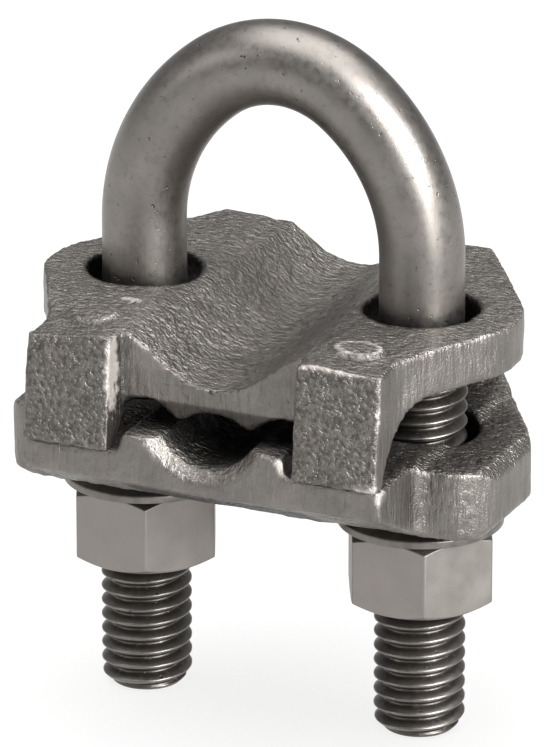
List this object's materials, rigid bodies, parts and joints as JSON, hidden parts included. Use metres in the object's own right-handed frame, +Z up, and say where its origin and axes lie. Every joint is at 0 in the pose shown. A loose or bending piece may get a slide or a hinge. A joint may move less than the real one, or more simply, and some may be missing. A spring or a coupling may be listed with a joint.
{
  "type": "two-saddle u-bolt clamp",
  "caption": "Wire rope clip with two cast saddles on a threaded U-bolt: a rod lies under the bow, a rope between the saddles, and hex nuts on dished washers close it.",
  "frame": {"origin": "midway between the two leg axes, on the plane of the leg tips", "axes": "+Z up the legs towards the bow, X from leg to leg, Y along the clamped rod and rope"},
  "size_m": [0.0538, 0.0418, 0.0737],
  "materials": {
    "bar_steel": "satin, drawn bar with fine pits",
    "cast_iron": "as cast, dimpled skin with bright worn edges",
    "washer_steel": "dull spring steel",
    "nut_steel": "smooth matte steel"
  },
  "bodies": {
    "frame": {"u_bolt": "bar_steel"},
    "lower": {"lower_saddle": "cast_iron"},
    "upper": {"upper_saddle": "cast_iron"},
    "washer_l": {"left_washer": "washer_steel"},
    "washer_r": {"right_washer": "washer_steel"},
    "nut_l": {"left_nut": "nut_steel"},
    "nut_r": {"right_nut": "nut_steel"}
  },
  "joints": [
    {"name": "clamp_travel", "type": "slide", "parent": "frame", "child": "lower", "axis": [0, 0, 1], "range_m": [-0.0135, 0.006]},
    {"name": "jaw_opening", "type": "slide", "parent": "lower", "child": "upper", "axis": [0, 0, 1], "range_m": [0, 0.0055]},
    {"name": "left_nut_turn", "type": "hinge", "parent": "lower", "child": "nut_l", "pos_m": [-0.0154, 0, 0.018], "axis": [0, 0, 1], "range_deg": [-3100, 1400]},
    {"name": "right_nut_turn", "type": "hinge", "parent": "lower", "child": "nut_r", "pos_m": [0.0154, 0, 0.018], "axis": [0, 0, 1], "range_deg": [-3100, 1400]},
    {"name": "left_washer_turn", "type": "hinge", "parent": "lower", "child": "washer_l", "pos_m": [-0.0154, 0, 0.024], "axis": [0, 0, 1], "continuous": true},
    {"name": "right_washer_turn", "type": "hinge", "parent": "lower", "child": "washer_r", "pos_m": [0.0154, 0, 0.024], "axis": [0, 0, 1], "continuous": true}
  ],
  "couplings": [
    {"joint": "left_nut_turn", "follows": "clamp_travel", "rad_per_m": 3957.9},
    {"joint": "right_nut_turn", "follows": "clamp_travel", "rad_per_m": 3957.9}
  ]
}
